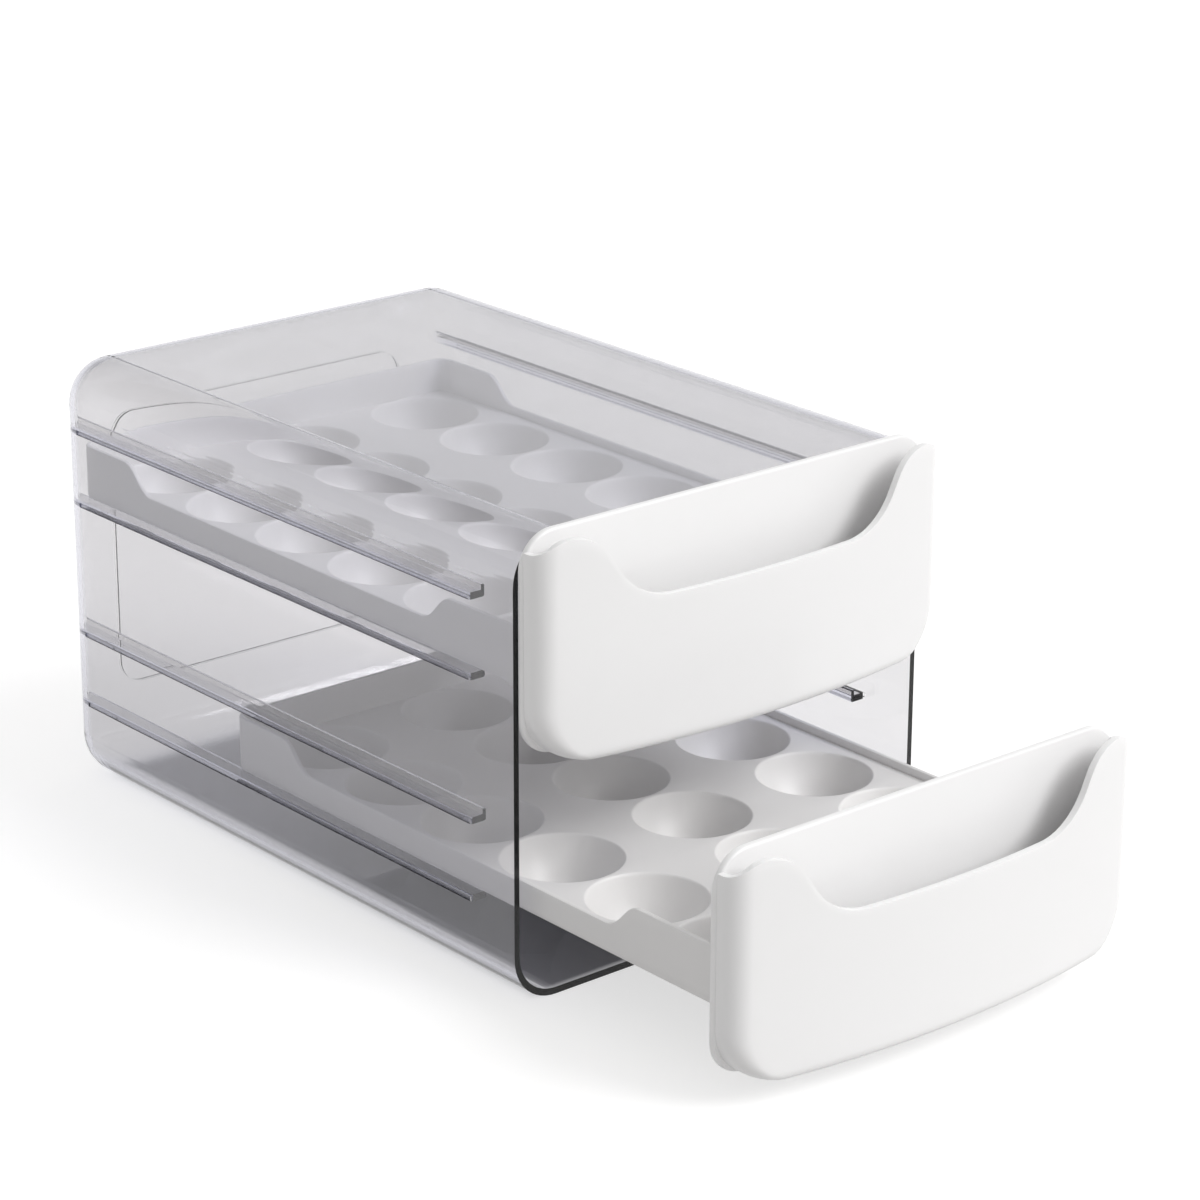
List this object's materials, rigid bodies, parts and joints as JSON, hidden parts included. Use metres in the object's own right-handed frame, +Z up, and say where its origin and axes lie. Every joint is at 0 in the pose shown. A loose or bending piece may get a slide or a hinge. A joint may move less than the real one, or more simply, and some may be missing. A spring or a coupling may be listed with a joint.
{
  "type": "two-drawer storage box with cupped trays",
  "caption": "Clear box with stacked white-fronted drawers; each drawer is a tray of round cups that slides on moulded rails and has a finger pocket in front.",
  "frame": {"origin": "middle of the case's flat base", "axes": "+Z up, the drawers open towards -Y, +X to the right of someone who faces the drawer fronts"},
  "size_m": [0.188, 0.3978, 0.1713],
  "materials": {
    "clear_case": "clear gloss plastic with a faint grey tint",
    "tray_plastic": "satin white plastic",
    "front_plastic": "smooth white plastic with a soft sheen"
  },
  "bodies": {
    "case": {"case": "clear_case"},
    "lower_drawer": {"lower_tray": "tray_plastic", "lower_front_plate": "front_plastic", "lower_pocket": "front_plastic"},
    "upper_drawer": {"upper_tray": "tray_plastic", "upper_front_plate": "front_plastic", "upper_pocket": "front_plastic"}
  },
  "joints": [
    {"name": "lower_drawer_slide", "type": "slide", "parent": "case", "child": "lower_drawer", "axis": [0, -1, 0], "range_m": [-0.097, 0.103]},
    {"name": "upper_drawer_slide", "type": "slide", "parent": "case", "child": "upper_drawer", "axis": [0, -1, 0], "range_m": [0, 0.2]}
  ]
}
